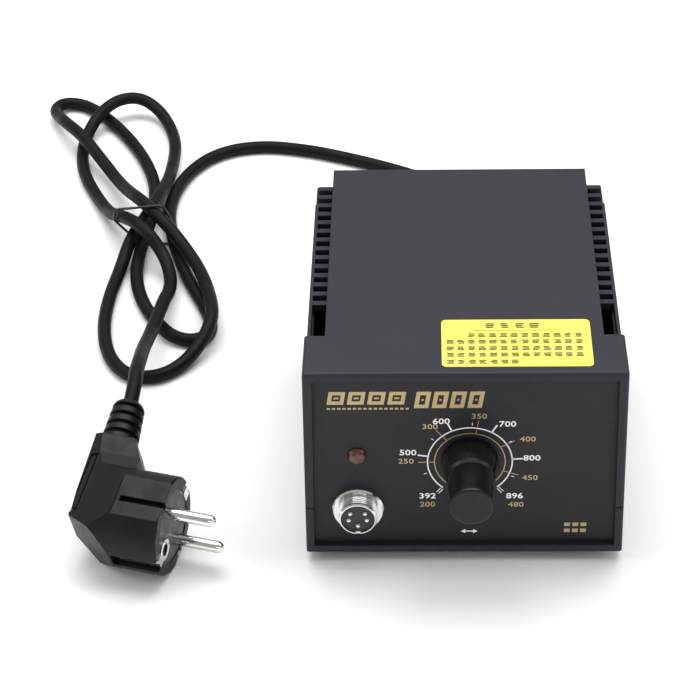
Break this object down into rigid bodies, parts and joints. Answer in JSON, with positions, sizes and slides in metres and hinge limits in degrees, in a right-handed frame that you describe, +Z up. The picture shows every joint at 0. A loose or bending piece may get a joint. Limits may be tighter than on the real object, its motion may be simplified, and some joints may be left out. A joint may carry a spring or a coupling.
{
  "type": "soldering iron station",
  "caption": "Soldering station control unit with a temperature knob, screw-on iron receptacle, slotted side channels, and a tied mains cord with an angled plug.",
  "frame": {"origin": "on the surface it stands on, midway across the casing and midway between the knob face and the end of the fuse cap", "axes": "+X to the right seen from the front, -Y out of the front panel, +Z up"},
  "size_m": [0.2654, 0.3873, 0.0891],
  "materials": {
    "case_plastic": "fine spark texture",
    "panel_plastic": "fine matte",
    "knob_plastic": "satin",
    "yellow_label": "coated",
    "silver_label": "satin foil",
    "lamp_lens": "polished",
    "black_nylon": "moulded",
    "rocker_plastic": "polished",
    "nickel_plate": "bright",
    "bakelite": "moulded",
    "gold_contact": "bright",
    "zinc_steel": "zinc plated",
    "tinned_brass": "tinned",
    "pot_metal": "turned",
    "foot_rubber": "matte",
    "bush_rubber": "satin",
    "cord_pvc": "satin",
    "plug_pvc": "satin",
    "plug_nylon": "moulded",
    "tie_wire": "coated wire",
    "board_laminate": "solder mask",
    "capacitor_sleeve": "shrink sleeve",
    "chip_epoxy": "moulded",
    "resistor_coat": "lacquered",
    "heat_sink_metal": "anodised",
    "terminal_green": "moulded",
    "trimmer_blue": "moulded",
    "trimmer_white": "moulded",
    "core_steel": "varnished laminations",
    "bobbin_nylon": "moulded",
    "winding_tape": "polyester tape",
    "fuse_glass": "clear",
    "lead_pvc": "satin",
    "white_ink": "screen printed",
    "gold_ink": "screen printed",
    "black_ink": "printed"
  },
  "bodies": {
    "station": {"board_screws": "zinc_steel", "case_screws": "zinc_steel", "control_chips": "chip_epoxy", "cord_bush": "bush_rubber", "cord_tie": "tie_wire", "filter_capacitors": "capacitor_sleeve", "front_panel": "panel_plastic", "fuse_holder": "black_nylon", "fuse_nut": "nickel_plate", "fuse_terminals": "tinned_brass", "heat_sink": "heat_sink_metal", "lamp_clip": "black_nylon", "lamp_legs": "zinc_steel", "lower_case": "case_plastic", "main_board": "board_laminate", "mains_cord": "cord_pvc", "mains_leads": "lead_pvc", "panel_leads": "lead_pvc", "plug_body": "plug_pvc", "plug_earth_clips": "nickel_plate", "plug_pin_carrier": "plug_nylon", "plug_pins": "nickel_plate", "pot_body": "pot_metal", "pot_nut": "nickel_plate", "pot_terminals": "tinned_brass", "pot_washer": "nickel_plate", "power_lamp": "lamp_lens", "rating_label": "silver_label", "rear_panel": "panel_plastic", "receptacle_insulator": "bakelite", "receptacle_nut": "nickel_plate", "receptacle_pins": "gold_contact", "receptacle_shell": "nickel_plate", "receptacle_washer": "nickel_plate", "resistors": "resistor_coat", "rubber_feet": "foot_rubber", "secondary_leads": "lead_pvc", "switch_body": "black_nylon", "switch_terminals": "tinned_brass", "terminal_block": "terminal_green", "top_label": "yellow_label", "transformer_bobbin": "bobbin_nylon", "transformer_bracket": "zinc_steel", "transformer_core": "core_steel", "transformer_screws": "zinc_steel", "transformer_winding": "winding_tape", "triac": "chip_epoxy", "triac_legs": "tinned_brass", "trimmer_body": "trimmer_blue", "upper_cover": "case_plastic"},
    "knob": {"control_knob": "knob_plastic", "knob_set_screw": "zinc_steel", "pot_shaft": "pot_metal"},
    "rocker": {"switch_rocker": "rocker_plastic"},
    "trimmer": {"trimmer_rotor": "trimmer_white"},
    "fuse_cap": {"fuse_cap": "black_nylon", "fuse": "fuse_glass"}
  },
  "joints": [
    {"name": "knob_turn", "type": "hinge", "parent": "station", "child": "knob", "pos_m": [0.00205, -0.077, 0.04685], "axis": [0, -1, 0], "range_deg": [-71.3, 208.7]},
    {"name": "rocker_tilt", "type": "hinge", "parent": "station", "child": "rocker", "pos_m": [-0.032, 0.0777, 0.05], "axis": [0, 0, 1], "range_deg": [0, 24]},
    {"name": "trimmer_turn", "type": "hinge", "parent": "station", "child": "trimmer", "pos_m": [0.00205, -0.0575, 0.01835], "axis": [0, -1, 0], "range_deg": [-135, 135]},
    {"name": "fuse_slide", "type": "slide", "parent": "station", "child": "fuse_cap", "axis": [0, 1, 0], "range_m": [0, 0.03]}
  ]
}
